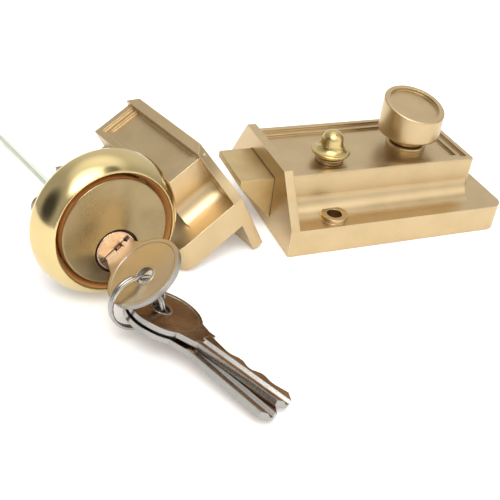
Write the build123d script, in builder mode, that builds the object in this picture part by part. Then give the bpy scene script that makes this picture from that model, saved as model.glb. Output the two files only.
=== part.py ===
from build123d import *
from math import atan2, cos, degrees, hypot, radians, sin, tan
import os

# Rim night latch set, in millimetres: lock case with bolt, knob and snib, keep (staple),
# rim cylinder with its key in, two more keys and their rings, laid out on one flat surface.
# Origin: centre of the lock case's back face. +X runs from the forend into the case,
# +Z out of the back face.

# ---- lock case -------------------------------------------------------------------------
CASE_L = 92.0
CASE_W = 62.0
FOREND_X = -CASE_L / 2
FLANGE_H = 10.6
BODY_END_X = FOREND_X + 81.2
BODY_HALF_W = 19.0
BODY_H = 26.1
FOREND_T = 3.5
FOREND_H = 28.3
FOREND_TOP_HALF_W = 18.3
CORNER_R = 5.5
COVE_R = 7.0
BODY_END_R = 1.8
WALL = 2.2
PANEL_STEP = 0.9
PANEL_RIM = 2.4
PANEL_LEDGE = 2.8
PANEL_Z = BODY_H - 2 * PANEL_STEP
CEILING_Z = PANEL_Z - WALL

# ---- bolt ------------------------------------------------------------------------------
BOLT_W = 23.3
BOLT_TOP = 21.6
BOLT_BOTTOM = 5.4
BOLT_OUT = 13.3
NOSE_H = 2.5
SHANK_TOP = 14.8
BOLT_REAR_X = FOREND_X + 24.0
ARM_T = 3.0
ARM_IN_Y = -9.0
ARM_OUT_Y = -19.0
BOLT_GAP = 0.35

# ---- knob and follower -----------------------------------------------------------------
BACKSET = 60.0
KNOB_X = FOREND_X + BACKSET
KNOB_Y = -1.5
KNOB_R = 12.0
KNOB_LOW = 30.2
KNOB_MID = 42.4
KNOB_FALL_X = -0.06
KNOB_FALL_Y = 0.214
KNOB_TOP = KNOB_MID + KNOB_R * (KNOB_FALL_X**2 + KNOB_FALL_Y**2) ** 0.5
NECK_R = 6.5
NECK_FOOT = 26.9
GRUB_Z = 28.6
SPINDLE_R = 4.0
HUB_R = 7.0
CAM_R = 12.2
CAM_PIN_R = 2.0
CAM_SWING = 66.0
CAM_START = -CAM_SWING / 2
TAIL_HOLE_R = 9.0

# ---- snib ------------------------------------------------------------------------------
SNIB_X = FOREND_X + 24.0
SNIB_Y = -6.5
SNIB_TRAVEL = 5.0
SNIB_STEM_R = 2.5
SKIRT_R = 7.3
CAP_R = (3.7**2 + 2.3**2) / (2 * 2.3)

# ---- case fixings ----------------------------------------------------------------------
FIXING_X = FOREND_X + 19.6
FIXING_Y = 24.9
BOSS_R = 4.9
FIXING_R = 2.85
BOSS_H = 12.4
POST_X = 38.5
POST_Y = 20.5
POST_R = 3.5
BACK_T = 1.6

# ---- keep (staple) ---------------------------------------------------------------------
KEEP_W = 66.0
KEEP_FLANGE_H = 11.2
KEEP_H = 29.8
KEEP_PLATE_T = 3.6
KEEP_INNER_INSET = 14.1
KEEP_OUTER_INSET = 10.4
KEEP_BODY_INSET = 10.8
KEEP_BODY_H = 28.0
KEEP_BODY_L = 19.65
KEEP_L = 30.9
LIP_T = 4.2
LIP_H = 14.6
KEEP_YAW = 17.2
KEEP_TILT = degrees(atan2(LIP_H, KEEP_L - LIP_T))
KEEP_AT = (-59.5, -25.0, KEEP_L * sin(radians(KEEP_TILT)))
KEEP_HOLE_R = 2.4
POCKET_HALF_W = 14.5
POCKET_DEPTH = 16.5

# ---- rim cylinder ----------------------------------------------------------------------
RING_R = 24.4
RING_LIP_R = 19.5
FACE_R = 17.5
FACE_AHEAD = 8.2
HOUSING_R = 11.9
LUG_X = 12.2
LUG_Y = -1.0
LUG_R = 3.8
RING_BORE_R = 16.4
CHAMBER_TOP = 10.4
HOUSING_L = 31.2
PLUG_R = 6.6
PLUG_DROP = 6.7
PLUG_FIT = 0.06
CYL_TURN = 11.5
CYL_RISE = 8.0
KEYWAY_TURN = -55.5
PIN_COUNT = 5
PIN_PITCH = 4.0
PIN_FIRST = 6.5
PIN_R = 1.4
TAIL_L = 81.3
TAIL_W = 5.2
TAIL_TIP_W = 2.8
TAIL_T = 1.5
TAIL_TURN = 20.0
SCREW_HOLE_R = 2.1

# ---- keys and rings --------------------------------------------------------------------
KEY_T = 2.2
BOW_T = 1.7
BLADE_L = 31.1
BLADE_HALF_W = 4.2
BOW_A = 12.0
BOW_B = 12.4
BOW_X = -16.3
BOW_Y = 1.0
KEY_HOLE_X = -18.0
KEY_HOLE_Y = 0.6
KEY_HOLE_R = 2.9
RING_WIRE = 1.2
KEYRING_R = 8.5
HANG_TURN = 33.903

os.makedirs("parts", exist_ok=True)


def on(frame, plane):
    """A plane given in a sub-assembly's own frame, placed in the set's frame."""
    return Plane(frame.location * plane.location)


def save(piece, name):
    piece.part.label = name
    export_step(piece.part, f"parts/{name}.step")


# ======================= lock case =======================
cove_bend = COVE_R * sin(radians(45))

with BuildPart() as lock_case:
    # upright body with softened top edges
    with BuildSketch(Plane.XY.offset(FLANGE_H - 1)):
        with Locations(((FOREND_X + BODY_END_X) / 2, 0)):
            Rectangle(BODY_END_X - FOREND_X, 2 * BODY_HALF_W)
    extrude(amount=BODY_H - FLANGE_H + 1)
    body_uprights = lock_case.edges().filter_by(Axis.Z).sort_by(Axis.X)[-2:]
    fillet(body_uprights, BODY_END_R)
    top_edges = lock_case.faces().sort_by(Axis.Z)[-1].edges()
    fillet(top_edges.filter_by_position(Axis.X, FOREND_X + 1, BODY_END_X + 0.1), 0.8)
    # flange
    with BuildSketch():
        Rectangle(CASE_L, CASE_W)
    extrude(amount=FLANGE_H)
    far_corners = lock_case.edges().filter_by(Axis.Z).filter_by_position(
        Axis.X, CASE_L / 2 - 0.1, CASE_L / 2 + 0.1
    )
    fillet(far_corners, CORNER_R)
    # concave cove along both sides of the body
    with BuildSketch(Plane.YZ.offset(FOREND_X)):
        with BuildLine():
            Polyline(
                (BODY_HALF_W, FLANGE_H + COVE_R),
                (BODY_HALF_W - 1, FLANGE_H + COVE_R),
                (BODY_HALF_W - 1, FLANGE_H - 1),
                (BODY_HALF_W + COVE_R, FLANGE_H - 1),
                (BODY_HALF_W + COVE_R, FLANGE_H),
            )
            ThreePointArc(
                (BODY_HALF_W + COVE_R, FLANGE_H),
                (BODY_HALF_W + COVE_R - cove_bend, FLANGE_H + COVE_R - cove_bend),
                (BODY_HALF_W, FLANGE_H + COVE_R),
            )
        make_face()
        mirror(about=Plane.YZ)
    extrude(amount=BODY_END_X - BODY_END_R - FOREND_X)
    # forend plate, wide at the foot and narrow at the top
    with BuildSketch(Plane.YZ.offset(FOREND_X)):
        with BuildLine():
            Polyline(
                (-CASE_W / 2, 0),
                (CASE_W / 2, 0),
                (CASE_W / 2, FLANGE_H),
                (FOREND_TOP_HALF_W, FOREND_H),
                (-FOREND_TOP_HALF_W, FOREND_H),
                (-CASE_W / 2, FLANGE_H),
                close=True,
            )
        make_face()
    extrude(amount=FOREND_T)
    # two shallow steps sink the top panel below its rim
    for step in (1, 2):
        inset = PANEL_RIM + (step - 1) * PANEL_LEDGE
        panel_x = FOREND_X + FOREND_T
        panel_l = BODY_END_X - inset - panel_x
        with BuildSketch(Plane.XY.offset(BODY_H - step * PANEL_STEP)):
            with Locations((panel_x + panel_l / 2, 0)):
                Rectangle(panel_l, 2 * (BODY_HALF_W - inset))
        extrude(amount=BODY_H, mode=Mode.SUBTRACT)
    # hollow inside, open at the back, leaving the screw barrels and the back plate's posts
    front = FOREND_X + FOREND_T
    rear = CASE_L / 2 - WALL
    with BuildSketch():
        with Locations(((front + rear) / 2, 0)):
            Rectangle(rear - front, CASE_W - 2 * WALL)
        with Locations((FIXING_X, FIXING_Y), (FIXING_X, -FIXING_Y)):
            Circle(BOSS_R, mode=Mode.SUBTRACT)
    extrude(amount=BACK_T, mode=Mode.SUBTRACT)
    with BuildSketch(Plane.XY.offset(BACK_T)):
        with Locations(((front + rear) / 2, 0)):
            Rectangle(rear - front, CASE_W - 2 * WALL)
        with Locations((FIXING_X, FIXING_Y), (FIXING_X, -FIXING_Y)):
            Circle(BOSS_R, mode=Mode.SUBTRACT)
        with GridLocations(2 * POST_X, 2 * POST_Y, 2, 2):
            Circle(POST_R, mode=Mode.SUBTRACT)
    extrude(amount=FLANGE_H - WALL - BACK_T, mode=Mode.SUBTRACT)
    with BuildSketch():
        with Locations(((front + BODY_END_X - WALL) / 2, 0)):
            Rectangle(BODY_END_X - WALL - front, 2 * (BODY_HALF_W - WALL))
    extrude(amount=CEILING_Z, mode=Mode.SUBTRACT)
    # bolt mouth through the forend
    with BuildSketch(Plane.YZ.offset(FOREND_X)):
        with Locations((0, (BOLT_TOP + BOLT_BOTTOM) / 2)):
            Rectangle(BOLT_W + 2 * BOLT_GAP, BOLT_TOP - BOLT_BOTTOM + 2 * BOLT_GAP)
    extrude(amount=FOREND_T + WALL, mode=Mode.SUBTRACT)
    # barrels for the door screws stand a little above the flange
    with BuildSketch(Plane.XY.offset(FLANGE_H - 1)):
        with Locations((FIXING_X, FIXING_Y), (FIXING_X, -FIXING_Y)):
            Circle(BOSS_R)
    extrude(amount=BOSS_H - FLANGE_H + 1)
    with BuildSketch():
        with Locations((FIXING_X, FIXING_Y), (FIXING_X, -FIXING_Y)):
            Circle(FIXING_R)
    extrude(amount=BOSS_H, mode=Mode.SUBTRACT)
    with BuildSketch():
        with GridLocations(2 * POST_X, 2 * POST_Y, 2, 2):
            Circle(1.25)
    extrude(amount=7.4, mode=Mode.SUBTRACT)
    # knob bush hole and snib slot through the panel
    with BuildSketch(Plane.XY.offset(CEILING_Z - 1)):
        with Locations((KNOB_X, KNOB_Y)):
            Circle(7.05)
    extrude(amount=WALL + 2, mode=Mode.SUBTRACT)
    with BuildSketch(Plane.XY.offset(CEILING_Z - 1)):
        with Locations((SNIB_X, SNIB_Y + SNIB_TRAVEL / 2)):
            SlotOverall(SNIB_TRAVEL + 2 * SNIB_STEM_R + 0.8, 2 * SNIB_STEM_R + 0.8, rotation=90)
    extrude(amount=WALL + 2, mode=Mode.SUBTRACT)
save(lock_case, "lock_case")

with BuildPart() as back_plate:
    plate_l = CASE_L - FOREND_T - WALL - 0.8
    with BuildSketch():
        with Locations((FOREND_X + FOREND_T + 0.3 + plate_l / 2, 0)):
            Rectangle(plate_l, CASE_W - 2 * WALL - 0.8)
        with Locations((FIXING_X, FIXING_Y), (FIXING_X, -FIXING_Y)):
            Circle(BOSS_R + 0.25, mode=Mode.SUBTRACT)
        with Locations((KNOB_X, KNOB_Y)):
            Circle(TAIL_HOLE_R, mode=Mode.SUBTRACT)
        with GridLocations(2 * POST_X, 2 * POST_Y, 2, 2):
            Circle(1.6, mode=Mode.SUBTRACT)
    extrude(amount=BACK_T)
    with BuildSketch():
        with GridLocations(2 * POST_X, 2 * POST_Y, 2, 2):
            Circle(2.9)
    extrude(amount=BACK_T - 0.2, taper=45, mode=Mode.SUBTRACT)
save(back_plate, "back_plate")

with BuildPart() as back_plate_screws:
    with BuildSketch():
        with GridLocations(2 * POST_X, 2 * POST_Y, 2, 2):
            Circle(2.75)
    extrude(amount=1.3, taper=45)
    with BuildSketch():
        with GridLocations(2 * POST_X, 2 * POST_Y, 2, 2):
            Circle(1.2)
    extrude(amount=7.0)
    with BuildSketch():
        with GridLocations(2 * POST_X, 2 * POST_Y, 2, 2):
            Rectangle(3.4, 0.7)
            Rectangle(0.7, 3.4)
    extrude(amount=0.5, mode=Mode.SUBTRACT)
save(back_plate_screws, "back_plate_screws")

# ======================= bolt =======================
NOTCH_W = 4.8
TONGUE = 4.0
TONGUE_X = SNIB_X - 5.0
RIB_TOP = 18.4
arm_mid_y = (ARM_IN_Y + ARM_OUT_Y) / 2
pin_rest_x = KNOB_X + CAM_R * sin(radians(CAM_START))

with BuildPart() as latch_bolt:
    head_rear = FOREND_X + 0.6
    with BuildSketch(Plane.XZ.offset(-BOLT_W / 2)):
        with BuildLine():
            Polyline(
                (FOREND_X - BOLT_OUT, BOLT_TOP),
                (FOREND_X - BOLT_OUT, BOLT_TOP - NOSE_H),
                (FOREND_X - 0.4, BOLT_BOTTOM),
                (BOLT_REAR_X, BOLT_BOTTOM),
                (BOLT_REAR_X, SHANK_TOP),
                (head_rear, SHANK_TOP),
                (head_rear, BOLT_TOP),
                close=True,
            )
        make_face()
    extrude(amount=BOLT_W)
    nose = latch_bolt.edges().filter_by(Axis.Y).filter_by_position(
        Axis.X, FOREND_X - BOLT_OUT - 0.1, FOREND_X - BOLT_OUT + 0.1
    )
    fillet(nose, 0.6)
    # rib with two notches for the snib's tongue: bolt out, bolt held back
    with BuildSketch(Plane.XY.offset(SHANK_TOP)):
        with Locations(((head_rear + BOLT_REAR_X) / 2, 0)):
            Rectangle(BOLT_REAR_X - head_rear, 6)
        with Locations((TONGUE_X, -1), (TONGUE_X - BOLT_OUT, -1)):
            Rectangle(NOTCH_W, 4.2, mode=Mode.SUBTRACT)
    extrude(amount=RIB_TOP - SHANK_TOP)
    # arm back to the follower, with a notch that the cam pin works in
    with BuildSketch(Plane.XY.offset(BOLT_BOTTOM)):
        with Locations(((BOLT_REAR_X + KNOB_X + 4) / 2, arm_mid_y)):
            Rectangle(KNOB_X + 4 - BOLT_REAR_X, ARM_IN_Y - ARM_OUT_Y)
        with Locations((BOLT_REAR_X - 1.5, -14)):
            Rectangle(5, 7)
        with Locations((pin_rest_x, ARM_IN_Y - 3.5)):
            Rectangle(2 * CAM_PIN_R + 0.8, 7.6, mode=Mode.SUBTRACT)
    extrude(amount=ARM_T)
save(latch_bolt, "latch_bolt")

with BuildPart() as bolt_guide:
    with BuildSketch(Plane.XY.offset(BACK_T)):
        with Locations((FOREND_X + FOREND_T + 9, 0)):
            Rectangle(14, 30)
    extrude(amount=BOLT_BOTTOM - BACK_T - 0.1)
    for side in (-1, 1):
        with BuildSketch(Plane.XY.offset(BOLT_BOTTOM - 0.2)):
            with Locations((FOREND_X + FOREND_T + 9, side * (BOLT_W / 2 + 2))):
                Rectangle(14, 3)
        extrude(amount=6)
save(bolt_guide, "bolt_guide")

SPRING_Y = 4.0
SPRING_Z = 10.4
SPRING_R = 3.2
SPRING_WIRE_R = 0.45
SPRING_END_X = BOLT_REAR_X + 25.0

with BuildPart() as spring_post:
    with BuildSketch(Plane.XY.offset(BACK_T)):
        with Locations((SPRING_END_X + 1.3, SPRING_Y)):
            Rectangle(2, 9)
    extrude(amount=SPRING_Z + 4 - BACK_T)
    with BuildSketch(Plane.YZ.offset(SPRING_END_X + 0.5)):
        with Locations((SPRING_Y, SPRING_Z)):
            Circle(1.6)
    extrude(amount=-9)
save(spring_post, "spring_post")

with BuildPart() as bolt_spring:
    spring_l = SPRING_END_X - BOLT_REAR_X - 2 * SPRING_WIRE_R - 0.2
    spring_x = BOLT_REAR_X + SPRING_WIRE_R + 0.1
    with BuildLine():
        coil = Helix(spring_l / 9, spring_l, SPRING_R, center=(spring_x, SPRING_Y, SPRING_Z), direction=(1, 0, 0))
    with BuildSketch(Plane(origin=coil @ 0, z_dir=coil % 0)):
        Circle(SPRING_WIRE_R)
    sweep(path=coil)
save(bolt_spring, "bolt_spring")

# ======================= knob and follower =======================
with BuildPart() as cam_follower:
    with BuildSketch(Plane.XY.offset(BACK_T + 0.5)):
        with Locations((KNOB_X, KNOB_Y)):
            Circle(HUB_R)
    extrude(amount=14)
    pin_y = KNOB_Y - CAM_R * cos(radians(CAM_START))
    arm_z = BOLT_BOTTOM + ARM_T + 0.5
    with BuildSketch(
        Plane(origin=(KNOB_X, KNOB_Y, arm_z), x_dir=(pin_rest_x - KNOB_X, pin_y - KNOB_Y, 0), z_dir=(0, 0, 1))
    ):
        with Locations((CAM_R / 2, 0)):
            SlotCenterToCenter(CAM_R, 5.6)
    extrude(amount=2.6)
    with BuildSketch(Plane.XY.offset(BOLT_BOTTOM + 0.2)):
        with Locations((pin_rest_x, pin_y)):
            Circle(CAM_PIN_R)
    extrude(amount=ARM_T + 1)
    # slot for the cylinder's tail bar, and the socket for the knob's spindle
    with BuildSketch():
        with Locations((KNOB_X, KNOB_Y)):
            Rectangle(7.4, 2.2)
            Rectangle(2.2, 7.4)
    extrude(amount=8, mode=Mode.SUBTRACT)
    with BuildSketch(Plane.XY.offset(9)):
        with Locations((KNOB_X, KNOB_Y)):
            Circle(SPINDLE_R)
    extrude(amount=10, mode=Mode.SUBTRACT)
save(cam_follower, "cam_follower")

with BuildPart() as knob_bush:
    with BuildSketch(Plane.XY.offset(PANEL_Z)):
        with Locations((KNOB_X, KNOB_Y)):
            Circle(7.8)
    extrude(amount=2.2)
    fillet(knob_bush.edges().group_by(Axis.Z)[-1], 1.0)
    with BuildSketch(Plane.XY.offset(PANEL_Z)):
        with Locations((KNOB_X, KNOB_Y)):
            Circle(7.0)
    extrude(amount=-WALL - 0.4)
    with BuildSketch(Plane.XY.offset(CEILING_Z - 1)):
        with Locations((KNOB_X, KNOB_Y)):
            Circle(5.3)
    extrude(amount=8, mode=Mode.SUBTRACT)
save(knob_bush, "knob_bush")

with BuildPart() as knob_spindle:
    with BuildSketch(Plane.XY.offset(9.2)):
        with Locations((KNOB_X, KNOB_Y)):
            Circle(SPINDLE_R - 0.02)
    extrude(amount=KNOB_LOW + 5 - 9.2)
    with BuildSketch(Plane.XY.offset(20.6)):
        with Locations((KNOB_X, KNOB_Y)):
            Circle(5.25)
    extrude(amount=6.1)
    with BuildSketch(Plane.XY.offset(18.3)):
        with Locations((KNOB_X, KNOB_Y)):
            Circle(SPINDLE_R)
            Circle(SPINDLE_R - 0.6, mode=Mode.SUBTRACT)
    extrude(amount=1.2, mode=Mode.SUBTRACT)
save(knob_spindle, "knob_spindle")

with BuildPart() as spindle_clip:
    with BuildSketch(Plane.XY.offset(18.4)):
        with Locations((KNOB_X, KNOB_Y)):
            Circle(6.4)
            Circle(SPINDLE_R - 0.5, mode=Mode.SUBTRACT)
        with Locations((KNOB_X + 5, KNOB_Y)):
            Rectangle(6, 4.4, mode=Mode.SUBTRACT)
    extrude(amount=1.0)
save(spindle_clip, "spindle_clip")

with BuildPart() as turn_knob:
    # top face falls towards the front of the case
    slope = atan2(hypot(KNOB_FALL_X, KNOB_FALL_Y), 1)
    uphill = Vector(KNOB_FALL_X, KNOB_FALL_Y, 0).normalized()
    top_at = Plane(
        origin=(KNOB_X, KNOB_Y, KNOB_MID),
        x_dir=uphill * cos(slope) + Vector(0, 0, sin(slope)),
        z_dir=Vector(0, 0, cos(slope)) - uphill * sin(slope),
    )
    with BuildSketch(Plane.XY.offset(KNOB_LOW)):
        with Locations((KNOB_X, KNOB_Y)):
            Circle(KNOB_R)
    extrude(amount=KNOB_TOP - KNOB_LOW + 2)
    split(bisect_by=top_at, keep=Keep.BOTTOM)
    fillet(turn_knob.edges().group_by(Axis.Z)[0], 1.2)
    rim = turn_knob.faces().sort_by(Axis.Z)[-1].edges()
    fillet(rim, 0.7)
    with BuildSketch(top_at):
        Ellipse(KNOB_R / cos(slope) - 2.2, KNOB_R - 2.2)
    extrude(amount=-1.2, mode=Mode.SUBTRACT)
    with BuildSketch(Plane.XY.offset(NECK_FOOT)):
        with Locations((KNOB_X, KNOB_Y)):
            Circle(NECK_R)
    extrude(amount=KNOB_LOW - NECK_FOOT + 0.5)
    with BuildSketch(Plane.XY.offset(NECK_FOOT - 0.3)):
        with Locations((KNOB_X, KNOB_Y)):
            Circle(SPINDLE_R)
    extrude(amount=KNOB_LOW + 5.2 - NECK_FOOT + 0.3, mode=Mode.SUBTRACT)
    with BuildSketch(Plane.XZ.offset(-KNOB_Y)):
        with Locations((KNOB_X, GRUB_Z)):
            Circle(1.25)
    extrude(amount=-10, mode=Mode.SUBTRACT)
save(turn_knob, "turn_knob")

with BuildPart() as knob_grub_screw:
    with BuildSketch(Plane.XZ.offset(-KNOB_Y - SPINDLE_R)):
        with Locations((KNOB_X, GRUB_Z)):
            Circle(1.2)
    extrude(amount=-2.4)
    with BuildSketch(Plane.XZ.offset(-KNOB_Y - SPINDLE_R - 2.4)):
        with Locations((KNOB_X, GRUB_Z)):
            RegularPolygon(0.6, 6)
    extrude(amount=1.0, mode=Mode.SUBTRACT)
save(knob_grub_screw, "knob_grub_screw")

# ======================= snib =======================
with BuildPart() as snib_button:
    with BuildSketch(Plane(origin=(SNIB_X, SNIB_Y, 0), x_dir=(1, 0, 0), z_dir=(0, -1, 0))):
        with BuildLine():
            Polyline((0, 36.5), (0, 19.5), (SNIB_STEM_R, 19.5), (SNIB_STEM_R, 26.3), (5.6, 26.9))
            ThreePointArc((5.6, 26.9), (6.8, 27.4), (SKIRT_R, 28.3))
            ThreePointArc((SKIRT_R, 28.3), (7.0, 28.8), (6.4, 28.8))
            ThreePointArc((6.4, 28.8), (4.9, 29.9), (4.2, 31.6))
            Line((4.2, 31.6), (3.95, 33.3))
            ThreePointArc((3.95, 33.3), (3.88, 33.8), (3.7, 34.2))
            RadiusArc((3.7, 34.2), (0, 36.5), -CAP_R)
        make_face()
    revolve(axis=Axis((SNIB_X, SNIB_Y, 0), (0, 0, 1)))
save(snib_button, "snib_button")

with BuildPart() as snib_collar:
    with BuildSketch(Plane.XY.offset(PANEL_Z + 0.25)):
        with Locations((SNIB_X, SNIB_Y)):
            Circle(5.4)
            Circle(SNIB_STEM_R + 0.02, mode=Mode.SUBTRACT)
    extrude(amount=1.7)
    fillet(snib_collar.edges().group_by(Axis.Z)[-1].sort_by(SortBy.LENGTH)[-1], 0.5)
save(snib_collar, "snib_collar")

with BuildPart() as snib_slide:
    with BuildSketch(Plane.XY.offset(CEILING_Z - 2.3)):
        with Locations(((SNIB_X + TONGUE_X) / 2, SNIB_Y)):
            Rectangle(SNIB_X - TONGUE_X + 9, 9)
        with Locations((SNIB_X, SNIB_Y)):
            Circle(SNIB_STEM_R + 0.02, mode=Mode.SUBTRACT)
    extrude(amount=2.0)
    with BuildSketch(Plane.XY.offset(SHANK_TOP + 0.4)):
        with Locations((TONGUE_X, SNIB_Y + 0.2)):
            Rectangle(TONGUE, TONGUE)
    extrude(amount=CEILING_Z - 2.0 - SHANK_TOP - 0.4)
save(snib_slide, "snib_slide")

with BuildPart() as snib_detent_spring:
    # bent strip fixed under the panel that presses the slide's edge
    with BuildSketch(Plane.XY.offset(CEILING_Z - 2.2)):
        with Locations((SNIB_X + 5.2, SNIB_Y + 3)):
            Rectangle(1.0, 16)
        with Locations((SNIB_X + 7.0, SNIB_Y + 9.5)):
            Rectangle(4.6, 3)
    extrude(amount=2.15)
save(snib_detent_spring, "snib_detent_spring")

# ======================= keep (staple) =======================
keep_tilt = radians(KEEP_TILT)
keep_yaw = radians(KEEP_YAW)
keep_at = Plane(
    origin=KEEP_AT,
    x_dir=(cos(keep_yaw) * cos(keep_tilt), sin(keep_yaw) * cos(keep_tilt), sin(keep_tilt)),
    z_dir=(-cos(keep_yaw) * sin(keep_tilt), -sin(keep_yaw) * sin(keep_tilt), cos(keep_tilt)),
)
KEEP_COVE = 6.4


def keep_plate_outline(inset):
    with BuildLine() as outline:
        Polyline(
            (0, 0),
            (KEEP_W, 0),
            (KEEP_W, KEEP_FLANGE_H),
            (KEEP_W - inset, KEEP_H),
            (inset, KEEP_H),
            (0, KEEP_FLANGE_H),
            close=True,
        )
    make_face(outline.edges())


with BuildPart() as keep_case:
    with BuildSketch(on(keep_at, Plane.YZ)):
        keep_plate_outline(KEEP_INNER_INSET)
    with BuildSketch(on(keep_at, Plane.YZ.offset(-KEEP_PLATE_T))):
        keep_plate_outline(KEEP_OUTER_INSET)
    loft()
    # flange with two rounded far corners
    with BuildSketch(keep_at):
        with BuildLine():
            Line((-1, 0), (-KEEP_L + CORNER_R, 0))
            RadiusArc((-KEEP_L + CORNER_R, 0), (-KEEP_L, CORNER_R), CORNER_R)
            Line((-KEEP_L, CORNER_R), (-KEEP_L, KEEP_W - CORNER_R))
            RadiusArc((-KEEP_L, KEEP_W - CORNER_R), (-KEEP_L + CORNER_R, KEEP_W), CORNER_R)
            Line((-KEEP_L + CORNER_R, KEEP_W), (-1, KEEP_W))
            Line((-1, KEEP_W), (-1, 0))
        make_face()
    extrude(amount=KEEP_FLANGE_H)
    # raised body with a cove along both sides
    with BuildSketch(on(keep_at, Plane.YZ.offset(-1))):
        for side in (0, 1):
            edge = KEEP_W * side
            inward = 1 - 2 * side
            body_y = edge + inward * KEEP_BODY_INSET
            foot_y = edge + inward * (KEEP_BODY_INSET - KEEP_COVE)
            bend = KEEP_COVE * sin(radians(45))
            with BuildLine():
                ThreePointArc(
                    (foot_y, KEEP_FLANGE_H),
                    (foot_y + inward * bend, KEEP_FLANGE_H + KEEP_COVE - bend),
                    (body_y, KEEP_FLANGE_H + KEEP_COVE),
                )
                Line((body_y, KEEP_FLANGE_H + KEEP_COVE), (body_y, KEEP_BODY_H))
                Line((body_y, KEEP_BODY_H), (KEEP_W / 2, KEEP_BODY_H))
                Line((KEEP_W / 2, KEEP_BODY_H), (KEEP_W / 2, KEEP_FLANGE_H))
                Line((KEEP_W / 2, KEEP_FLANGE_H), (foot_y, KEEP_FLANGE_H))
            make_face()
    extrude(amount=-(KEEP_BODY_L - 1))
    # the top panel sinks in two steps
    for step in (1, 2):
        inset = PANEL_RIM + (step - 1) * 2.0
        with BuildSketch(keep_at.offset(KEEP_BODY_H - step * PANEL_STEP)):
            with Locations(((-KEEP_BODY_L + inset - KEEP_PLATE_T) / 2, KEEP_W / 2)):
                Rectangle(KEEP_BODY_L - inset - KEEP_PLATE_T, KEEP_W - 2 * (KEEP_BODY_INSET + inset))
        extrude(amount=4, mode=Mode.SUBTRACT)
    # lip that wraps onto the door jamb
    with BuildSketch(on(keep_at, Plane.YZ)):
        with Locations((KEEP_W / 2, -LIP_H / 2 + 0.5)):
            Rectangle(KEEP_W, LIP_H + 1)
    extrude(amount=-LIP_T)
    # pocket for the bolt, open towards the lock
    with BuildSketch(on(keep_at, Plane.YZ)):
        with Locations((KEEP_W / 2, 14.2)):
            Rectangle(2 * POCKET_HALF_W, 19.6)
    extrude(amount=-POCKET_DEPTH, mode=Mode.SUBTRACT)
    # screw holes: two through the lip, two through the pocket floor
    with BuildSketch(on(keep_at, Plane.YZ)):
        with Locations((KEEP_W / 2 - 20, -8), (KEEP_W / 2 + 20, -8)):
            Circle(KEEP_HOLE_R)
    extrude(amount=-LIP_T, mode=Mode.SUBTRACT)
    with BuildSketch(keep_at):
        with Locations((-10.5, KEEP_W / 2 - 8), (-10.5, KEEP_W / 2 + 8)):
            Circle(KEEP_HOLE_R)
    extrude(amount=6, mode=Mode.SUBTRACT)
save(keep_case, "keep_case")

# ======================= rim cylinder =======================
rise = radians(CYL_RISE)
turn = radians(CYL_TURN)
axis_out = (cos(rise) * sin(turn), -cos(rise) * cos(turn), sin(rise))
face_at = Plane(
    origin=(
        -112.5 + FACE_AHEAD * axis_out[0],
        -30.6 + FACE_AHEAD * axis_out[1],
        RING_R * cos(rise) + FACE_AHEAD * axis_out[2],
    ),
    x_dir=(cos(turn), sin(turn), 0),
    z_dir=axis_out,
)
plug_at = Plane(
    origin=face_at.from_local_coords((0, -PLUG_DROP, 0)),
    x_dir=face_at.x_dir.rotate(Axis((0, 0, 0), axis_out), KEYWAY_TURN),
    z_dir=axis_out,
)
# in plug_at, +Y runs along the keyway towards the pins
tail_at = Plane(
    origin=plug_at.origin,
    x_dir=plug_at.x_dir.rotate(Axis((0, 0, 0), axis_out), TAIL_TURN),
    z_dir=axis_out,
)
PIN_Z = [-PIN_FIRST - i * PIN_PITCH for i in range(PIN_COUNT)]


face_axis = Axis(face_at.origin, face_at.z_dir)
with BuildPart() as cylinder_ring:
    with BuildSketch(on(face_at, Plane.XZ)):
        with BuildLine():
            Line((RING_BORE_R, -FACE_AHEAD - 1.2), (RING_R - 0.3, -FACE_AHEAD - 1.2))
            Line((RING_R - 0.3, -FACE_AHEAD - 1.2), (RING_R, -FACE_AHEAD))
            ThreePointArc((RING_R, -FACE_AHEAD), (22.9, -3.4), (20.1, 0.1))
            ThreePointArc((20.1, 0.1), (19.7, 0.4), (RING_LIP_R, 0.0))
            Line((RING_LIP_R, 0.0), (FACE_R + 0.4, -3.6))
            Line((FACE_R + 0.4, -3.6), (FACE_R + 0.4, -FACE_AHEAD))
            Line((FACE_R + 0.4, -FACE_AHEAD), (RING_BORE_R, -FACE_AHEAD))
            Line((RING_BORE_R, -FACE_AHEAD), (RING_BORE_R, -FACE_AHEAD - 1.2))
        make_face()
    revolve(axis=face_axis)
save(cylinder_ring, "cylinder_ring")

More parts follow.
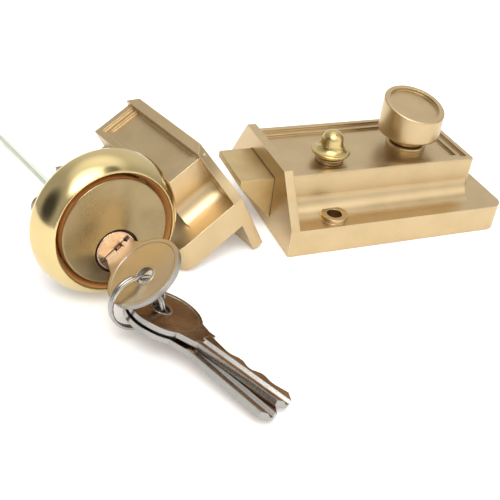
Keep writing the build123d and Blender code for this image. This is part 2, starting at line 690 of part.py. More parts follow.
with BuildPart() as cylinder_housing:
    with BuildSketch(face_at):
        Circle(FACE_R)
    extrude(amount=-FACE_AHEAD)
    fillet(cylinder_housing.edges().filter_by(GeomType.CIRCLE).sort_by(face_axis)[-1], 0.6)
    # barrel with two screw lugs and the pin tower along its top
    with BuildSketch(face_at.offset(-FACE_AHEAD + 1)):
        Circle(HOUSING_R)
        with Locations((-LUG_X, LUG_Y), (LUG_X, LUG_Y)):
            Circle(LUG_R)
        with Locations((0, LUG_Y)):
            Rectangle(2 * LUG_X, 2 * LUG_R)
        with Locations((0, 5.8)):
            Rectangle(13, 11.4)
        with Locations((0, -PLUG_DROP)):
            Circle(PLUG_R + 1.8)
    extrude(amount=-HOUSING_L + FACE_AHEAD - 1)
    with BuildSketch(plug_at):
        Circle(PLUG_R + PLUG_FIT)
    extrude(amount=-HOUSING_L, mode=Mode.SUBTRACT)
    # pin chambers drilled down to the plug from a slot on top
    with BuildSketch(on(face_at, Plane.XZ.offset(-CHAMBER_TOP - 4))):
        with Locations((0, (PIN_Z[0] + PIN_Z[-1]) / 2)):
            Rectangle(4.24, PIN_Z[0] - PIN_Z[-1] + 4.84)
    extrude(amount=4, mode=Mode.SUBTRACT)
    with BuildSketch(on(face_at, Plane.XZ.offset(-CHAMBER_TOP - 1))):
        with Locations(*[(0, z) for z in PIN_Z]):
            Circle(PIN_R + 0.08)
    extrude(amount=CHAMBER_TOP + 1 + 1.5, mode=Mode.SUBTRACT)
    # tapped holes in the back for the connecting screws
    with BuildSketch(on(face_at, Plane.XY.offset(-HOUSING_L))):
        with Locations((-LUG_X, LUG_Y), (LUG_X, LUG_Y)):
            Circle(SCREW_HOLE_R)
    extrude(amount=12, mode=Mode.SUBTRACT)
save(cylinder_housing, "cylinder_housing")

with BuildPart() as chamber_cover:
    with BuildSketch(on(face_at, Plane.XZ.offset(-CHAMBER_TOP))):
        with Locations((0, (PIN_Z[0] + PIN_Z[-1]) / 2)):
            Rectangle(4.2, PIN_Z[0] - PIN_Z[-1] + 4.8)
    extrude(amount=-1.0)
save(chamber_cover, "chamber_cover")

# warded blade section: full-width web with one groove in each face
WARD = (
    (-BLADE_HALF_W, -KEY_T / 2),
    (-0.2, -KEY_T / 2),
    (0.5, -0.1),
    (1.9, -0.1),
    (2.6, -KEY_T / 2),
    (BLADE_HALF_W, -KEY_T / 2),
    (BLADE_HALF_W, KEY_T / 2),
    (0.2, KEY_T / 2),
    (-0.5, 0.1),
    (-1.9, 0.1),
    (-2.6, KEY_T / 2),
    (-BLADE_HALF_W, KEY_T / 2),
)
BITTING = (1.4, 2.6, 0.9, 2.1, 1.5)

with BuildPart() as cylinder_plug:
    with BuildSketch(plug_at.offset(-0.3)):
        Circle(PLUG_R)
    extrude(amount=-HOUSING_L - 0.6)
    fillet(cylinder_plug.edges().filter_by(GeomType.CIRCLE).sort_by(face_axis)[-1], 0.4)
    with BuildSketch(plug_at.offset(-0.3)):
        with BuildLine():
            Polyline(*[(t, y) for y, t in WARD], close=True)
        make_face()
        offset(amount=0.22, kind=Kind.INTERSECTION)
    extrude(amount=-HOUSING_L + 0.8, mode=Mode.SUBTRACT)
    with BuildSketch(on(plug_at, Plane.XZ.offset(-PLUG_R - 1))):
        with Locations(*[(0, z) for z in PIN_Z]):
            Circle(PIN_R + 0.08)
    extrude(amount=PLUG_R - 0.5, mode=Mode.SUBTRACT)
    with BuildSketch(tail_at.offset(-HOUSING_L - 0.9)):
        Rectangle(TAIL_W + 0.1, TAIL_T + 0.1)
    extrude(amount=0.92, mode=Mode.SUBTRACT)
save(cylinder_plug, "cylinder_plug")

# the key pins are drawn lifted to the blade's full height, so the key slides in and out freely
with BuildPart() as key_pins:
    for z in PIN_Z:
        with BuildSketch(on(plug_at, Plane(origin=(0, PLUG_R - 0.1, z), x_dir=(1, 0, 0), z_dir=(0, -1, 0)))):
            Circle(PIN_R)
        extrude(amount=PLUG_R - 0.1 - BLADE_HALF_W - 0.15)
save(key_pins, "key_pins")

with BuildPart() as driver_pins:
    for z in PIN_Z:
        with BuildSketch(on(face_at, Plane(origin=(0, 0.25, z), x_dir=(1, 0, 0), z_dir=(0, 1, 0)))):
            Circle(PIN_R)
        extrude(amount=4.2)
save(driver_pins, "driver_pins")

with BuildPart() as pin_springs:
    coil_l = CHAMBER_TOP - 4.45 - 0.7
    for z in PIN_Z:
        foot = face_at.from_local_coords((0, 4.8, z))
        with BuildLine():
            turns = Helix(coil_l / 5, coil_l, 0.95, center=foot, direction=face_at.y_dir)
        with BuildSketch(Plane(origin=turns @ 0, z_dir=turns % 0)):
            Circle(0.22)
        sweep(path=turns)
save(pin_springs, "pin_springs")

with BuildPart() as tail_bar:
    # flat bar tapering to its free end
    tail_side = on(tail_at, Plane.XZ.offset(-TAIL_T / 2))
    with BuildSketch(tail_side):
        with BuildLine():
            Polyline(
                (-TAIL_W / 2, -HOUSING_L),
                (TAIL_W / 2, -HOUSING_L),
                (TAIL_W / 2, -HOUSING_L - 3),
                (TAIL_TIP_W / 2, -HOUSING_L - TAIL_L - 0.6),
                (TAIL_TIP_W / 2 - 0.5, -HOUSING_L - TAIL_L - 1.1),
                (0.5 - TAIL_TIP_W / 2, -HOUSING_L - TAIL_L - 1.1),
                (-TAIL_TIP_W / 2, -HOUSING_L - TAIL_L - 0.6),
                (-TAIL_W / 2, -HOUSING_L - 3),
                close=True,
            )
        make_face()
    extrude(amount=TAIL_T)
save(tail_bar, "tail_bar")

with BuildPart() as plug_cap:
    with BuildSketch(tail_at.offset(-HOUSING_L - 0.95)):
        Circle(PLUG_R + 1.0)
        Rectangle(TAIL_W + 0.3, TAIL_T + 0.3, mode=Mode.SUBTRACT)
        with Locations((0, 4), (0, -4)):
            Circle(0.85, mode=Mode.SUBTRACT)
    extrude(amount=-1.6)
save(plug_cap, "plug_cap")

with BuildPart() as cap_screws:
    for side in (-1, 1):
        with BuildSketch(tail_at.offset(-HOUSING_L - 2.6)):
            with Locations((0, 4 * side)):
                Circle(1.5)
        extrude(amount=-1.1)
        with BuildSketch(tail_at.offset(-HOUSING_L - 3.7)):
            with Locations((0, 4 * side)):
                Rectangle(3.2, 0.5)
        extrude(amount=0.5, mode=Mode.SUBTRACT)
        with BuildSketch(tail_at.offset(-HOUSING_L - 0.97)):
            with Locations((0, 4 * side)):
                Circle(0.8)
        extrude(amount=-1.7)
save(cap_screws, "cap_screws")


# ======================= keys =======================
def key_at(shoulder, along, face):
    """A key's frame: +X from the bow to the tip, +Y towards the cuts, +Z out of one face."""
    return Plane(origin=shoulder, x_dir=along, z_dir=face)


def build_key(frame, bitting):
    """Oval bow with a rim and ring hole, short neck, and a warded blade with cuts on one edge."""
    with BuildPart() as key:
        # blade: the warded section run the full length, then trimmed to the side outline
        with BuildSketch(on(frame, Plane.YZ.offset(-1))):
            with BuildLine():
                Polyline(*WARD, close=True)
            make_face()
        extrude(amount=BLADE_L + 1)
        with BuildSketch(frame.offset(-KEY_T)):
            with BuildLine():
                points = [(-1, BLADE_HALF_W)]
                for i, cut in enumerate(bitting):
                    middle = PIN_FIRST + 0.9 + i * PIN_PITCH
                    edge = BLADE_HALF_W - cut
                    points += [(middle - 0.8, edge), (middle + 0.8, edge)]
                points += [(BLADE_L - 2.6, BLADE_HALF_W - 0.8), (BLADE_L, 0.4), (BLADE_L, -1.6)]
                points += [(BLADE_L - 2.4, -BLADE_HALF_W), (-1, -BLADE_HALF_W)]
                Polyline(*points, close=True)
            make_face()
        extrude(amount=2 * KEY_T, mode=Mode.INTERSECT)
        # bow and neck
        with BuildSketch(frame.offset(-BOW_T / 2)):
            with Locations((BOW_X, BOW_Y)):
                Ellipse(BOW_A, BOW_B)
            with BuildLine():
                Polyline((-7, -6.4), (0, -BLADE_HALF_W), (0, 6.0), (-2.4, 6.0), (-7, 8.0), close=True)
            make_face()
            with Locations((KEY_HOLE_X, KEY_HOLE_Y)):
                Circle(KEY_HOLE_R, mode=Mode.SUBTRACT)
        extrude(amount=BOW_T)
        # shallow dished field inside the bow's rim, on both faces
        for side in (-1, 1):
            with BuildSketch(frame.offset(side * (BOW_T / 2 - 0.2))):
                with Locations((BOW_X, BOW_Y)):
                    Ellipse(BOW_A - 1.3, BOW_B - 1.3)
                with Locations((KEY_HOLE_X, KEY_HOLE_Y)):
                    Circle(KEY_HOLE_R + 0.7, mode=Mode.SUBTRACT)
            extrude(amount=side * 0.5, mode=Mode.SUBTRACT)
    return key


def direction(yaw, pitch, roll):
    """Key axes on the table: heading and dip of the blade, then the roll of its face."""
    heading = Vector(cos(radians(yaw)), sin(radians(yaw)), 0)
    along = heading * cos(radians(pitch)) - Vector(0, 0, sin(radians(pitch)))
    level = Vector(0, 0, 1).cross(heading)
    up = along.cross(level)
    face = up * cos(radians(roll)) - level * sin(radians(roll))
    return along, face


key_1_frame = key_at(
    plug_at.from_local_coords((0, 0, 0.9)), -plug_at.z_dir, -(plug_at.z_dir.cross(plug_at.y_dir))
)
key_inserted = build_key(key_1_frame, BITTING)
save(key_inserted, "key_inserted")

LOOSE_YAW = -56.417
LOOSE_PITCH = 7.986
LOOSE_ROLL = -21.4
LOOSE_FAN = -7.418
LOOSE_GAP = 2.609
along_2, face_2 = direction(LOOSE_YAW, LOOSE_PITCH, LOOSE_ROLL)
key_2_frame = key_at((-92.67, -74.83, 7.41), along_2, face_2)
key_2 = build_key(key_2_frame, (2.2, 1.2, 2.6, 0.9, 1.8))
save(key_2, "key_2")
key_3_turn = Location(key_2_frame) * Location((KEY_HOLE_X, KEY_HOLE_Y, -LOOSE_GAP), (0, 0, LOOSE_FAN))
key_3_frame = Plane(key_3_turn * Location((-KEY_HOLE_X, -KEY_HOLE_Y, 0)))
key_3 = build_key(key_3_frame, (1.6, 2.4, 1.0, 2.6, 1.2))
save(key_3, "key_3")


# ======================= split rings =======================
def build_ring(frame, radius):
    """Two flat turns of wire lying face to face, with the step where each end begins."""
    with BuildPart() as ring:
        for side in (-1, 1):
            section = on(frame, Plane(origin=(radius, 0, side * 0.49), x_dir=(1, 0, 0), z_dir=(0, -1, 0)))
            with BuildSketch(section):
                RectangleRounded(RING_WIRE, 1.0, 0.3)
            revolve(axis=Axis(frame.origin, frame.z_dir))
    return ring


hole_1 = key_1_frame.from_local_coords((KEY_HOLE_X, KEY_HOLE_Y, 0))
hang = (-key_1_frame.y_dir).rotate(Axis((0, 0, 0), axis_out), HANG_TURN)
ring_1_frame = Plane(origin=hole_1 + hang * KEYRING_R, x_dir=hang, z_dir=axis_out)
split_ring_1 = build_ring(ring_1_frame, KEYRING_R)
save(split_ring_1, "split_ring_1")

hole_2 = key_2_frame.from_local_coords((KEY_HOLE_X, KEY_HOLE_Y, -LOOSE_GAP / 2))
RING_2_REACH = Vector(-0.5396, 0.8313, 0.1332)
RING_2_AXIS = Vector(-0.8397, -0.5429, -0.0132).normalized()
RING_2_IN = 1.389
ring_2_x = (RING_2_REACH - RING_2_AXIS * RING_2_REACH.dot(RING_2_AXIS)).normalized()
ring_2_frame = Plane(origin=hole_2 + ring_2_x * (KEYRING_R - RING_2_IN), x_dir=ring_2_x, z_dir=RING_2_AXIS)
split_ring_2 = build_ring(ring_2_frame, KEYRING_R)
save(split_ring_2, "split_ring_2")
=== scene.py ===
from math import cos, pi, radians, sin

import bpy
from mathutils import Matrix, Vector


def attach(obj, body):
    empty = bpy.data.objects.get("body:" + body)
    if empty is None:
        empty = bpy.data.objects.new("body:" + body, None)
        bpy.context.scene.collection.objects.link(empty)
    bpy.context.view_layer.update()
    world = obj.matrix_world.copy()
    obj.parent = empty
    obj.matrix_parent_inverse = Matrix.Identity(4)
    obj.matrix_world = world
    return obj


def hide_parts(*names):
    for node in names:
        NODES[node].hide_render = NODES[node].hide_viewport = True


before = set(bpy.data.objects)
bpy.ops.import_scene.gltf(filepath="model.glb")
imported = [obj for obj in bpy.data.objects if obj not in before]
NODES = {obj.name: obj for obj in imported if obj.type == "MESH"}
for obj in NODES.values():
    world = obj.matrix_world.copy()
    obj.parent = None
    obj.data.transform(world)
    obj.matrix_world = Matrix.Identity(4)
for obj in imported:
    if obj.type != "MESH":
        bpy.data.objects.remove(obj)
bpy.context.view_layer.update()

SCENE = bpy.context.scene
MM = 0.001

# shares of the bevelled normal's turn between which an edge takes the edge colour, and how strong it shows: a
# painted highlight on the lacquered gold, wear to silver on the keys
EDGE_WEAR_AND_HIGHLIGHT_FROM, EDGE_WEAR_AND_HIGHLIGHT_FULL, EDGE_WEAR_AND_HIGHLIGHT_SHARE = 0.99, 0.86, 0.8
# the part of a noise texture's range that carries the change from dark to light
NOISE_LOW, NOISE_HIGH = 0.3, 0.7
SMOOTHEST = 0.02


# ---------------------------------------------------------------- materials
def node(tree, kind, **values):
    """A shader node; keyword names are attributes, or inputs where they start with in_."""
    made = tree.nodes.new(kind)
    for name, value in values.items():
        if name.startswith("in_"):
            made.inputs[name[3:].replace("_", " ")].default_value = value
        else:
            setattr(made, name, value)
    return made


def grey(tree, operation, first, second=None):
    """A maths node on two sockets or numbers; returns its output."""
    made = node(tree, "ShaderNodeMath", operation=operation)
    for i, value in enumerate((first, second)):
        if value is None:
            continue
        if isinstance(value, (int, float)):
            made.inputs[i].default_value = value
        else:
            tree.links.new(value, made.inputs[i])
    return made.outputs[0]


def blend(tree, mask, under, over):
    """Colour mix by a mask socket; under and over are sockets or RGB triples."""
    mix = node(tree, "ShaderNodeMix", data_type="RGBA")
    tree.links.new(mask, mix.inputs[0])
    for i, value in ((6, under), (7, over)):
        if isinstance(value, tuple):
            mix.inputs[i].default_value = (*value, 1)
        else:
            tree.links.new(value, mix.inputs[i])
    return mix.outputs[2]


def smooth(tree, value, low, high):
    """0 at low, 1 at high, eased in between."""
    made = node(tree, "ShaderNodeMapRange", interpolation_type="SMOOTHSTEP")
    made.inputs["From Min"].default_value = low
    made.inputs["From Max"].default_value = high
    tree.links.new(value, made.inputs["Value"])
    return made.outputs["Result"]


def dot(tree, vector, direction):
    made = node(tree, "ShaderNodeVectorMath", operation="DOT_PRODUCT")
    tree.links.new(vector, made.inputs[0])
    made.inputs[1].default_value = direction
    return made.outputs["Value"]


def around(tree, place, origin, axis):
    """Distance from an axis, and distance along it, at each point of the surface."""
    shift = node(tree, "ShaderNodeVectorMath", operation="SUBTRACT")
    tree.links.new(place.outputs["Object"], shift.inputs[0])
    shift.inputs[1].default_value = origin
    along = dot(tree, shift.outputs["Vector"], axis)
    size = node(tree, "ShaderNodeVectorMath", operation="LENGTH")
    tree.links.new(shift.outputs["Vector"], size.inputs[0])
    far = grey(tree, "MULTIPLY", size.outputs["Value"], size.outputs["Value"])
    near = grey(tree, "MULTIPLY", along, along)
    return grey(tree, "SQRT", grey(tree, "SUBTRACT", far, near)), along


def metal(name, light, dark, roughness, spread=0.06, patch=90.0, grain=2600.0, grain_bump=0.02, edge=None,
          edge_radius=0.00035, streak=None, mask=None, masked=None, metallic=1.0, masked_metallic=None):
    """Metal with slow colour patches, fine grain in roughness and bump, softened and brighter edges; the edge
    colour is a painted highlight on the lacquered gold and wear to silver on the keys.

    mask(tree, place) gives a socket that is 1 where the masked colour and metallic value show.
    patch and grain are noise scales, grain_bump is in millimetres and edge_radius in metres.
    """
    mat = bpy.data.materials.new(name)
    mat.use_nodes = True
    tree = mat.node_tree
    tree.nodes.clear()
    link = tree.links.new
    out = node(tree, "ShaderNodeOutputMaterial")
    shader = node(tree, "ShaderNodeBsdfPrincipled")
    shader.inputs["Metallic"].default_value = metallic
    link(shader.outputs["BSDF"], out.inputs["Surface"])
    place = node(tree, "ShaderNodeTexCoord")
    patches = node(tree, "ShaderNodeTexNoise", in_Scale=patch, in_Detail=4.0, in_Roughness=0.55)
    link(place.outputs["Object"], patches.inputs["Vector"])
    level = smooth(tree, patches.outputs["Fac"], NOISE_LOW, NOISE_HIGH)
    colour = blend(tree, level, dark, light)
    if mask:
        hit = mask(tree, place)
        colour = blend(tree, hit, colour, masked)
        if masked_metallic is not None:
            link(grey(tree, "ADD", grey(tree, "MULTIPLY", hit, masked_metallic - metallic), metallic),
                 shader.inputs["Metallic"])
    fine = node(tree, "ShaderNodeTexNoise", in_Scale=grain, in_Detail=2.0, in_Roughness=0.6)
    if streak:
        stretch = node(tree, "ShaderNodeMapping")
        stretch.inputs["Scale"].default_value = streak
        link(place.outputs["Object"], stretch.inputs["Vector"])
        link(stretch.outputs["Vector"], fine.inputs["Vector"])
    else:
        link(place.outputs["Object"], fine.inputs["Vector"])
    soft = node(tree, "ShaderNodeBevel", samples=6)
    soft.inputs["Radius"].default_value = edge_radius
    bump = node(tree, "ShaderNodeBump", in_Strength=1.0, in_Distance=grain_bump * MM)
    link(fine.outputs["Fac"], bump.inputs["Height"])
    link(soft.outputs["Normal"], bump.inputs["Normal"])
    link(bump.outputs["Normal"], shader.inputs["Normal"])
    # edge colour: painted highlight on the gold, wear to silver on the keys
    if edge:
        geometry = node(tree, "ShaderNodeNewGeometry")
        along = node(tree, "ShaderNodeVectorMath", operation="DOT_PRODUCT")
        link(geometry.outputs["Normal"], along.inputs[0])
        link(soft.outputs["Normal"], along.inputs[1])
        edge_wear_and_highlight = smooth(tree, along.outputs["Value"], EDGE_WEAR_AND_HIGHLIGHT_FROM, EDGE_WEAR_AND_HIGHLIGHT_FULL)
        colour = blend(tree, grey(tree, "MULTIPLY", edge_wear_and_highlight, EDGE_WEAR_AND_HIGHLIGHT_SHARE), colour, edge)
    link(colour, shader.inputs["Base Color"])
    mixed = grey(tree, "MULTIPLY", grey(tree, "ADD", patches.outputs["Fac"], fine.outputs["Fac"]), 0.5)
    rough = node(tree, "ShaderNodeMapRange", in_From_Min=NOISE_LOW, in_From_Max=NOISE_HIGH)
    rough.inputs["To Min"].default_value = max(SMOOTHEST, roughness - spread)
    rough.inputs["To Max"].default_value = roughness + spread
    link(mixed, rough.inputs["Value"])
    link(rough.outputs["Result"], shader.inputs["Roughness"])
    return mat


def dress(names, material):
    for name in names:
        mesh = NODES[name].data
        mesh.materials.clear()
        mesh.materials.append(material)


# the rim cylinder's axis, out of its face, the middles of its face disc and plug, and the way the keys face
CYLINDER_OUT = Vector((0.197428, -0.970388, 0.139173))
FACE_CENTRE = Vector((-110.881, -38.557, 25.304)) * MM
PLUG_CENTRE = Vector((-110.6952, -39.4709, 18.669)) * MM
KEY_1_FACE = Vector((0.57790, 0.00053, -0.81611))
KEY_2_FACE = Vector((0.375524, 0.094068, 0.922026))


GROOVE_OUTER = 19.5 * MM
FACE_RIM = 17.4 * MM
SOFTEN = 0.2 * MM


def ring_groove_painted_reflection(tree, place):
    """The wall that drops from the ring's lip towards the face, where the warm reflection of the shaded gap
    is painted.
    """
    radius, along = around(tree, place, FACE_CENTRE, CYLINDER_OUT)
    inside = smooth(tree, radius, GROOVE_OUTER, GROOVE_OUTER - SOFTEN)
    return grey(tree, "MULTIPLY", inside, smooth(tree, along, 0.1 * MM, -0.3 * MM))


def face_side_painted_reflection(tree, place):
    """The face disc's edge, down in the gap, where the warm reflection of the shaded gap is painted."""
    radius, along = around(tree, place, FACE_CENTRE, CYLINDER_OUT)
    outside = smooth(tree, radius, FACE_RIM - SOFTEN, FACE_RIM)
    return grey(tree, "MULTIPLY", outside, smooth(tree, along, -0.5 * MM, -0.8 * MM))


def key_edge(direction):
    """Surfaces that face sideways out of a flat key."""
    def mask(tree, place):
        facing = grey(tree, "ABSOLUTE", dot(tree, place.outputs["Normal"], direction))
        return smooth(tree, facing, 0.8, 0.6)
    return mask


SILVER = (0.36, 0.35, 0.33)
# painted reflection: the warm orange, less metallic look of the shaded gap, painted on the ring's groove wall
# and the face disc's edge
GROOVE_PAINTED_REFLECTION = (0.62, 0.34, 0.12)
GROOVE_REFLECTION_METALLIC = 0.35
# the gold's lighter edge colour is a painted highlight along its edges
GOLD = metal("satin_champagne_gold", (0.58, 0.445, 0.26), (0.535, 0.405, 0.23), 0.36, edge=(0.74, 0.61, 0.40))
BOLT = metal("satin_bolt_brass", (0.64, 0.49, 0.26), (0.58, 0.43, 0.21), 0.40, streak=(1, 14, 14),
             grain=900.0, grain_bump=0.03)
POLISHED = metal("polished_ring_brass", (0.66, 0.53, 0.27), (0.62, 0.49, 0.24), 0.13, spread=0.03, patch=60.0,
              grain_bump=0.004, mask=ring_groove_painted_reflection, masked=GROOVE_PAINTED_REFLECTION, masked_metallic=GROOVE_REFLECTION_METALLIC)
FACE = metal("satin_face_brass", (0.34, 0.255, 0.135), (0.275, 0.205, 0.105), 0.30, spread=0.05,
             grain_bump=0.012, mask=face_side_painted_reflection, masked=GROOVE_PAINTED_REFLECTION, masked_metallic=GROOVE_REFLECTION_METALLIC)
PLUG = metal("plug_brass", (0.72, 0.54, 0.42), (0.60, 0.41, 0.30), 0.26, spread=0.08, patch=260.0,
             grain_bump=0.03)
# painted shade: the dark brown that the walls of the gap round the plug take
GAP_PAINTED_SHADE = metal("painted_shade_gap_brass", (0.17, 0.10, 0.06), (0.11, 0.065, 0.04), 0.50)
ACORN = metal("acorn_brass", (0.62, 0.49, 0.23), (0.54, 0.41, 0.17), 0.28, spread=0.05, patch=160.0)
STEEL = metal("zinc_plated_steel", (0.62, 0.62, 0.60), (0.50, 0.50, 0.50), 0.34, patch=200.0)
SPRING = metal("spring_steel", (0.58, 0.58, 0.58), (0.42, 0.42, 0.43), 0.24)
TAIL = metal("tail_zinc", (0.70, 0.74, 0.62), (0.62, 0.66, 0.55), 0.36, patch=120.0)
KEY_GOLD = metal("key_matte_brass", (0.80, 0.69, 0.50), (0.73, 0.62, 0.43), 0.36, edge=SILVER,
                 mask=key_edge(KEY_1_FACE), masked=SILVER)
KEY_NICKEL = metal("key_plated", (0.30, 0.18, 0.10), (0.22, 0.125, 0.07), 0.24, spread=0.08, patch=140.0,
                   edge=SILVER, mask=key_edge(KEY_2_FACE), masked=SILVER)
NICKEL = metal("split_ring_nickel", (0.44, 0.43, 0.41), (0.30, 0.29, 0.27), 0.17, patch=300.0)

dress(["lock_case", "keep_case", "turn_knob", "knob_bush", "snib_collar"], GOLD)
dress(["latch_bolt"], BOLT)
dress(["cylinder_ring"], POLISHED)
dress(["cylinder_housing", "chamber_cover", "driver_pins", "plug_cap"], FACE)
dress(["cylinder_plug", "key_pins"], PLUG)
dress(["snib_button"], ACORN)
dress(["back_plate", "back_plate_screws", "bolt_guide", "spring_post", "snib_slide", "cam_follower",
       "knob_spindle"], STEEL)
dress(["spindle_clip", "knob_grub_screw", "bolt_spring", "snib_detent_spring", "pin_springs",
       "cap_screws"], SPRING)
dress(["tail_bar"], TAIL)
dress(["key_inserted"], KEY_GOLD)
dress(["key_2", "key_3"], KEY_NICKEL)
dress(["split_ring_1", "split_ring_2"], NICKEL)


# ---------------------------------------------------------------- pieces made here
def mesh_object(name, verts, faces, material, flat=False):
    """A mesh object in the scene with one material, smooth-shaded unless flat."""
    mesh = bpy.data.meshes.new(name)
    mesh.from_pydata(verts, [], faces)
    mesh.materials.append(material)
    obj = bpy.data.objects.new(name, mesh)
    SCENE.collection.objects.link(obj)
    mesh.polygons.foreach_set("use_smooth", [not flat] * len(mesh.polygons))
    return obj


RING_R = 8.5 * MM
WIRE_W, WIRE_H = 1.2 * MM, 0.96 * MM
WIRE_STEP = 0.5 * MM
WIRE_BEND = radians(26)
WIRE_STEPS = 220
SECTION = 20
SQUARENESS = 0.62


def squared(value):
    """A sine or cosine pulled out towards a rounded square."""
    return abs(value) ** SQUARENESS * (1 if value >= 0 else -1)


def split_ring(name, node_name, body, centre, axis, start):
    """Two turns of flattened wire side by side, with one step between them and a cut end at each side of it.

    start is the direction from the centre to the middle of the step.
    """
    axis = Vector(axis).normalized()
    start = Vector(start)
    start = (start - axis * start.dot(axis)).normalized()
    side = axis.cross(start)
    turns = 2 * pi
    begin, end = WIRE_BEND, 2 * turns - WIRE_BEND
    verts, faces = [], []
    for i in range(WIRE_STEPS + 1):
        t = begin + (end - begin) * i / WIRE_STEPS
        rise = min(max((t - turns + WIRE_BEND) / (2 * WIRE_BEND), 0.0), 1.0)
        height = WIRE_STEP * (2 * rise * rise * (3 - 2 * rise) - 1)
        out = start * cos(t) + side * sin(t)
        for j in range(SECTION):
            a = 2 * pi * j / SECTION
            u = squared(cos(a)) * WIRE_W / 2
            v = squared(sin(a)) * WIRE_H / 2
            verts.append(Vector(centre) + out * (RING_R + u) + axis * (height + v))
    for i in range(WIRE_STEPS):
        for j in range(SECTION):
            k = (j + 1) % SECTION
            faces.append((i * SECTION + j, (i + 1) * SECTION + j, (i + 1) * SECTION + k, i * SECTION + k))
    faces.append(tuple(range(SECTION)))
    faces.append(tuple(WIRE_STEPS * SECTION + j for j in reversed(range(SECTION))))
    ring = mesh_object(name, verts, faces, NICKEL)
    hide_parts(node_name)
    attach(ring, body)


def turned(name, profile, origin, axis, material, sides=96):
    """Solid of revolution about an axis: profile is a closed loop of (radius, height)."""
    turn = Vector(axis).to_track_quat("Z", "X").to_matrix()
    verts, faces = [], []
    count = len(profile)
    for i in range(sides):
        a = 2 * pi * i / sides
        for radius, height in profile:
            verts.append(Vector(origin) + turn @ Vector((radius * cos(a), radius * sin(a), height)))
    for i in range(sides):
        n = (i + 1) % sides
        for j in range(count):
            k = (j + 1) % count
            faces.append((i * count + j, n * count + j, n * count + k, i * count + k))
    return mesh_object(name, verts, faces, material, flat=True)


# the cutter reaches inside the plug's bore, widens to its mouth and stands proud of the face
GAP_INNER, GAP_OUTER, GAP_MOUTH = 6.2 * MM, 7.3 * MM, 7.45 * MM
GAP_DEPTH, GAP_ABOVE = 1.5 * MM, 0.6 * MM


def housing_with_gap():
    """The housing with a shallow open gap cut in its face round the plug; the cut walls take a dark brown
    that is painted shade.
    """
    profile = [(GAP_INNER, -GAP_DEPTH), (GAP_OUTER, -GAP_DEPTH), (GAP_MOUTH, GAP_ABOVE),
               (GAP_INNER, GAP_ABOVE)]
    gap = turned("plug_gap_cut", profile, PLUG_CENTRE, CYLINDER_OUT, GAP_PAINTED_SHADE)
    body = NODES["cylinder_housing"].copy()
    body.data = NODES["cylinder_housing"].data.copy()
    body.name = "housing_face_gap"
    SCENE.collection.objects.link(body)
    cut = body.modifiers.new("gap", "BOOLEAN")
    cut.operation = "DIFFERENCE"
    cut.solver = "EXACT"
    # the cut walls take the cutter's dark painted-shade material
    cut.material_mode = "TRANSFER"
    cut.object = gap
    bpy.context.view_layer.update()
    depsgraph = bpy.context.evaluated_depsgraph_get()
    made = bpy.data.meshes.new_from_object(body.evaluated_get(depsgraph))
    body.modifiers.clear()
    body.data = made
    bpy.data.objects.remove(gap, do_unlink=True)
    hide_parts("cylinder_housing")
    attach(body, "cylinder")


housing_with_gap()
split_ring("first_split_ring", "split_ring_1", "first_ring", Vector((-109.3352, -59.3679, 13.8095)) * MM,
           CYLINDER_OUT, (0.33489, 0.20019, 0.92075))
split_ring("second_split_ring", "split_ring_2", "second_ring", Vector((-106.4079, -53.8593, 9.4407)) * MM,
           (-0.83968, -0.54292, -0.01315), (-0.53960, 0.83132, 0.13318))


# ---------------------------------------------------------------- floor, light, camera
def floor_material():
    mat = bpy.data.materials.new("pale_floor")
    mat.use_nodes = True
    tree = mat.node_tree
    shader = tree.nodes["Principled BSDF"]
    shader.inputs["Roughness"].default_value = 0.9
    shader.inputs["Specular IOR Level"].default_value = 0.1
    place = node(tree, "ShaderNodeTexCoord")
    noise = node(tree, "ShaderNodeTexNoise", in_Scale=6.0)
    tree.links.new(place.outputs["Object"], noise.inputs["Vector"])
    ramp = node(tree, "ShaderNodeValToRGB")
    ramp.color_ramp.elements[0].color = (0.93, 0.93, 0.93, 1)
    ramp.color_ramp.elements[1].color = (0.96, 0.96, 0.96, 1)
    tree.links.new(noise.outputs["Fac"], ramp.inputs["Fac"])
    tree.links.new(ramp.outputs["Color"], shader.inputs["Base Color"])
    shader.inputs["Emission Color"].default_value = (1, 1, 1, 1)
    shader.inputs["Emission Strength"].default_value = 0.22
    return mat


FLOOR_HALF = 3.0
FLOOR_DROP = 0.0003
floor = mesh_object(
    "floor",
    [(-FLOOR_HALF, -FLOOR_HALF, 0), (FLOOR_HALF, -FLOOR_HALF, 0), (FLOOR_HALF, FLOOR_HALF, 0),
     (-FLOOR_HALF, FLOOR_HALF, 0)],
    [(0, 1, 2, 3)],
    floor_material(),
)
floor.location.z = -FLOOR_DROP

SCENE.view_settings.view_transform = "Standard"


# azimuth, height, full within, gone beyond (degrees); brightness added, or share of light a flag takes away
ROOM = 0.54
ROOM_TINT = (1.0, 0.985, 0.96)
PANELS = (
    (-100, 62, 12, 34, 2.2),
    (-60, 12, 25, 50, 0.40),
    (65, 32, 12, 60, 0.36),
    (-172, 20, 8, 30, -0.88),
    (0, 86, 14, 44, 0.75),
    (-28, 63, 5, 15, -0.75),
)


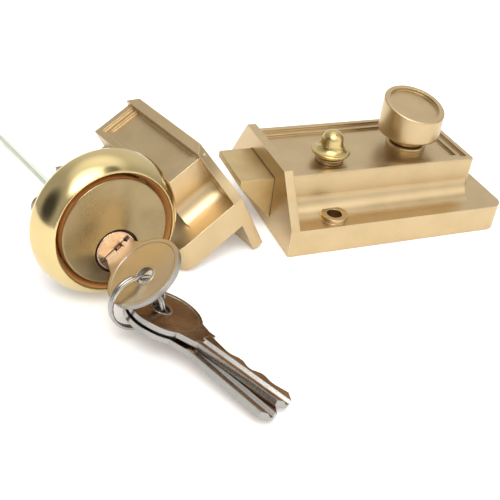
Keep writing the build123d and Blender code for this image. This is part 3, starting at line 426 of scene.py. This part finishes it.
def studio_world():
    """Grey room: a bright panel up behind the camera, paler walls and ceiling, and two dark flags."""
    world = bpy.data.worlds.new("studio")
    SCENE.world = world
    world.use_nodes = True
    tree = world.node_tree
    tree.nodes.clear()
    out = node(tree, "ShaderNodeOutputWorld")
    back = node(tree, "ShaderNodeBackground")
    tree.links.new(back.outputs["Background"], out.inputs["Surface"])
    place = node(tree, "ShaderNodeTexCoord")
    level = None
    for azimuth, height, inner, outer, amount in PANELS:
        at = (cos(radians(azimuth)) * cos(radians(height)), sin(radians(azimuth)) * cos(radians(height)),
              sin(radians(height)))
        facing = dot(tree, place.outputs["Generated"], at)
        share = smooth(tree, facing, cos(radians(outer)), cos(radians(inner)))
        if amount > 0:
            level = grey(tree, "ADD", grey(tree, "MULTIPLY", share, amount), ROOM if level is None else level)
        else:
            left = grey(tree, "ADD", grey(tree, "MULTIPLY", share, amount), 1.0)
            level = grey(tree, "MULTIPLY", level, left)
    tint = node(tree, "ShaderNodeVectorMath", operation="SCALE")
    tint.inputs[0].default_value = ROOM_TINT
    tree.links.new(level, tint.inputs["Scale"])
    tree.links.new(tint.outputs["Vector"], back.inputs["Color"])


studio_world()


TARGET = (-0.05, -0.02, 0.02)
LAMP_COLOUR = (1, 0.98, 0.95)


def softbox(name, at, aim, size, power):
    light = bpy.data.lights.new(name, "AREA")
    light.shape = "RECTANGLE"
    light.size, light.size_y = size
    light.energy = power
    light.color = LAMP_COLOUR
    obj = bpy.data.objects.new(name, light)
    SCENE.collection.objects.link(obj)
    obj.location = at
    obj.rotation_euler = (Vector(aim) - Vector(at)).to_track_quat("-Z", "Y").to_euler()


softbox("key_light", (-0.35, -0.55, 0.95), TARGET, (0.5, 0.4), 3.0)
softbox("fill_light", (0.7, -0.6, 0.6), TARGET, (0.8, 0.6), 1.0)

CAMERA_AT = Vector((-160.43, -240.95, 168.50)) * MM
RIGHT = Vector((0.92846, -0.35586, 0.10649))
UP = Vector((0.12559, 0.57052, 0.81163))
FORWARD = Vector((0.34958, 0.74018, -0.57439))
camera_data = bpy.data.cameras.new("camera")
camera_data.sensor_width = 36.0
camera_data.lens = 58.3
camera_data.clip_start = 0.01
camera = bpy.data.objects.new("camera", camera_data)
SCENE.collection.objects.link(camera)
axes = Matrix((RIGHT, UP, -FORWARD)).transposed()
camera.matrix_world = Matrix.Translation(CAMERA_AT) @ axes.to_4x4()
SCENE.camera = camera
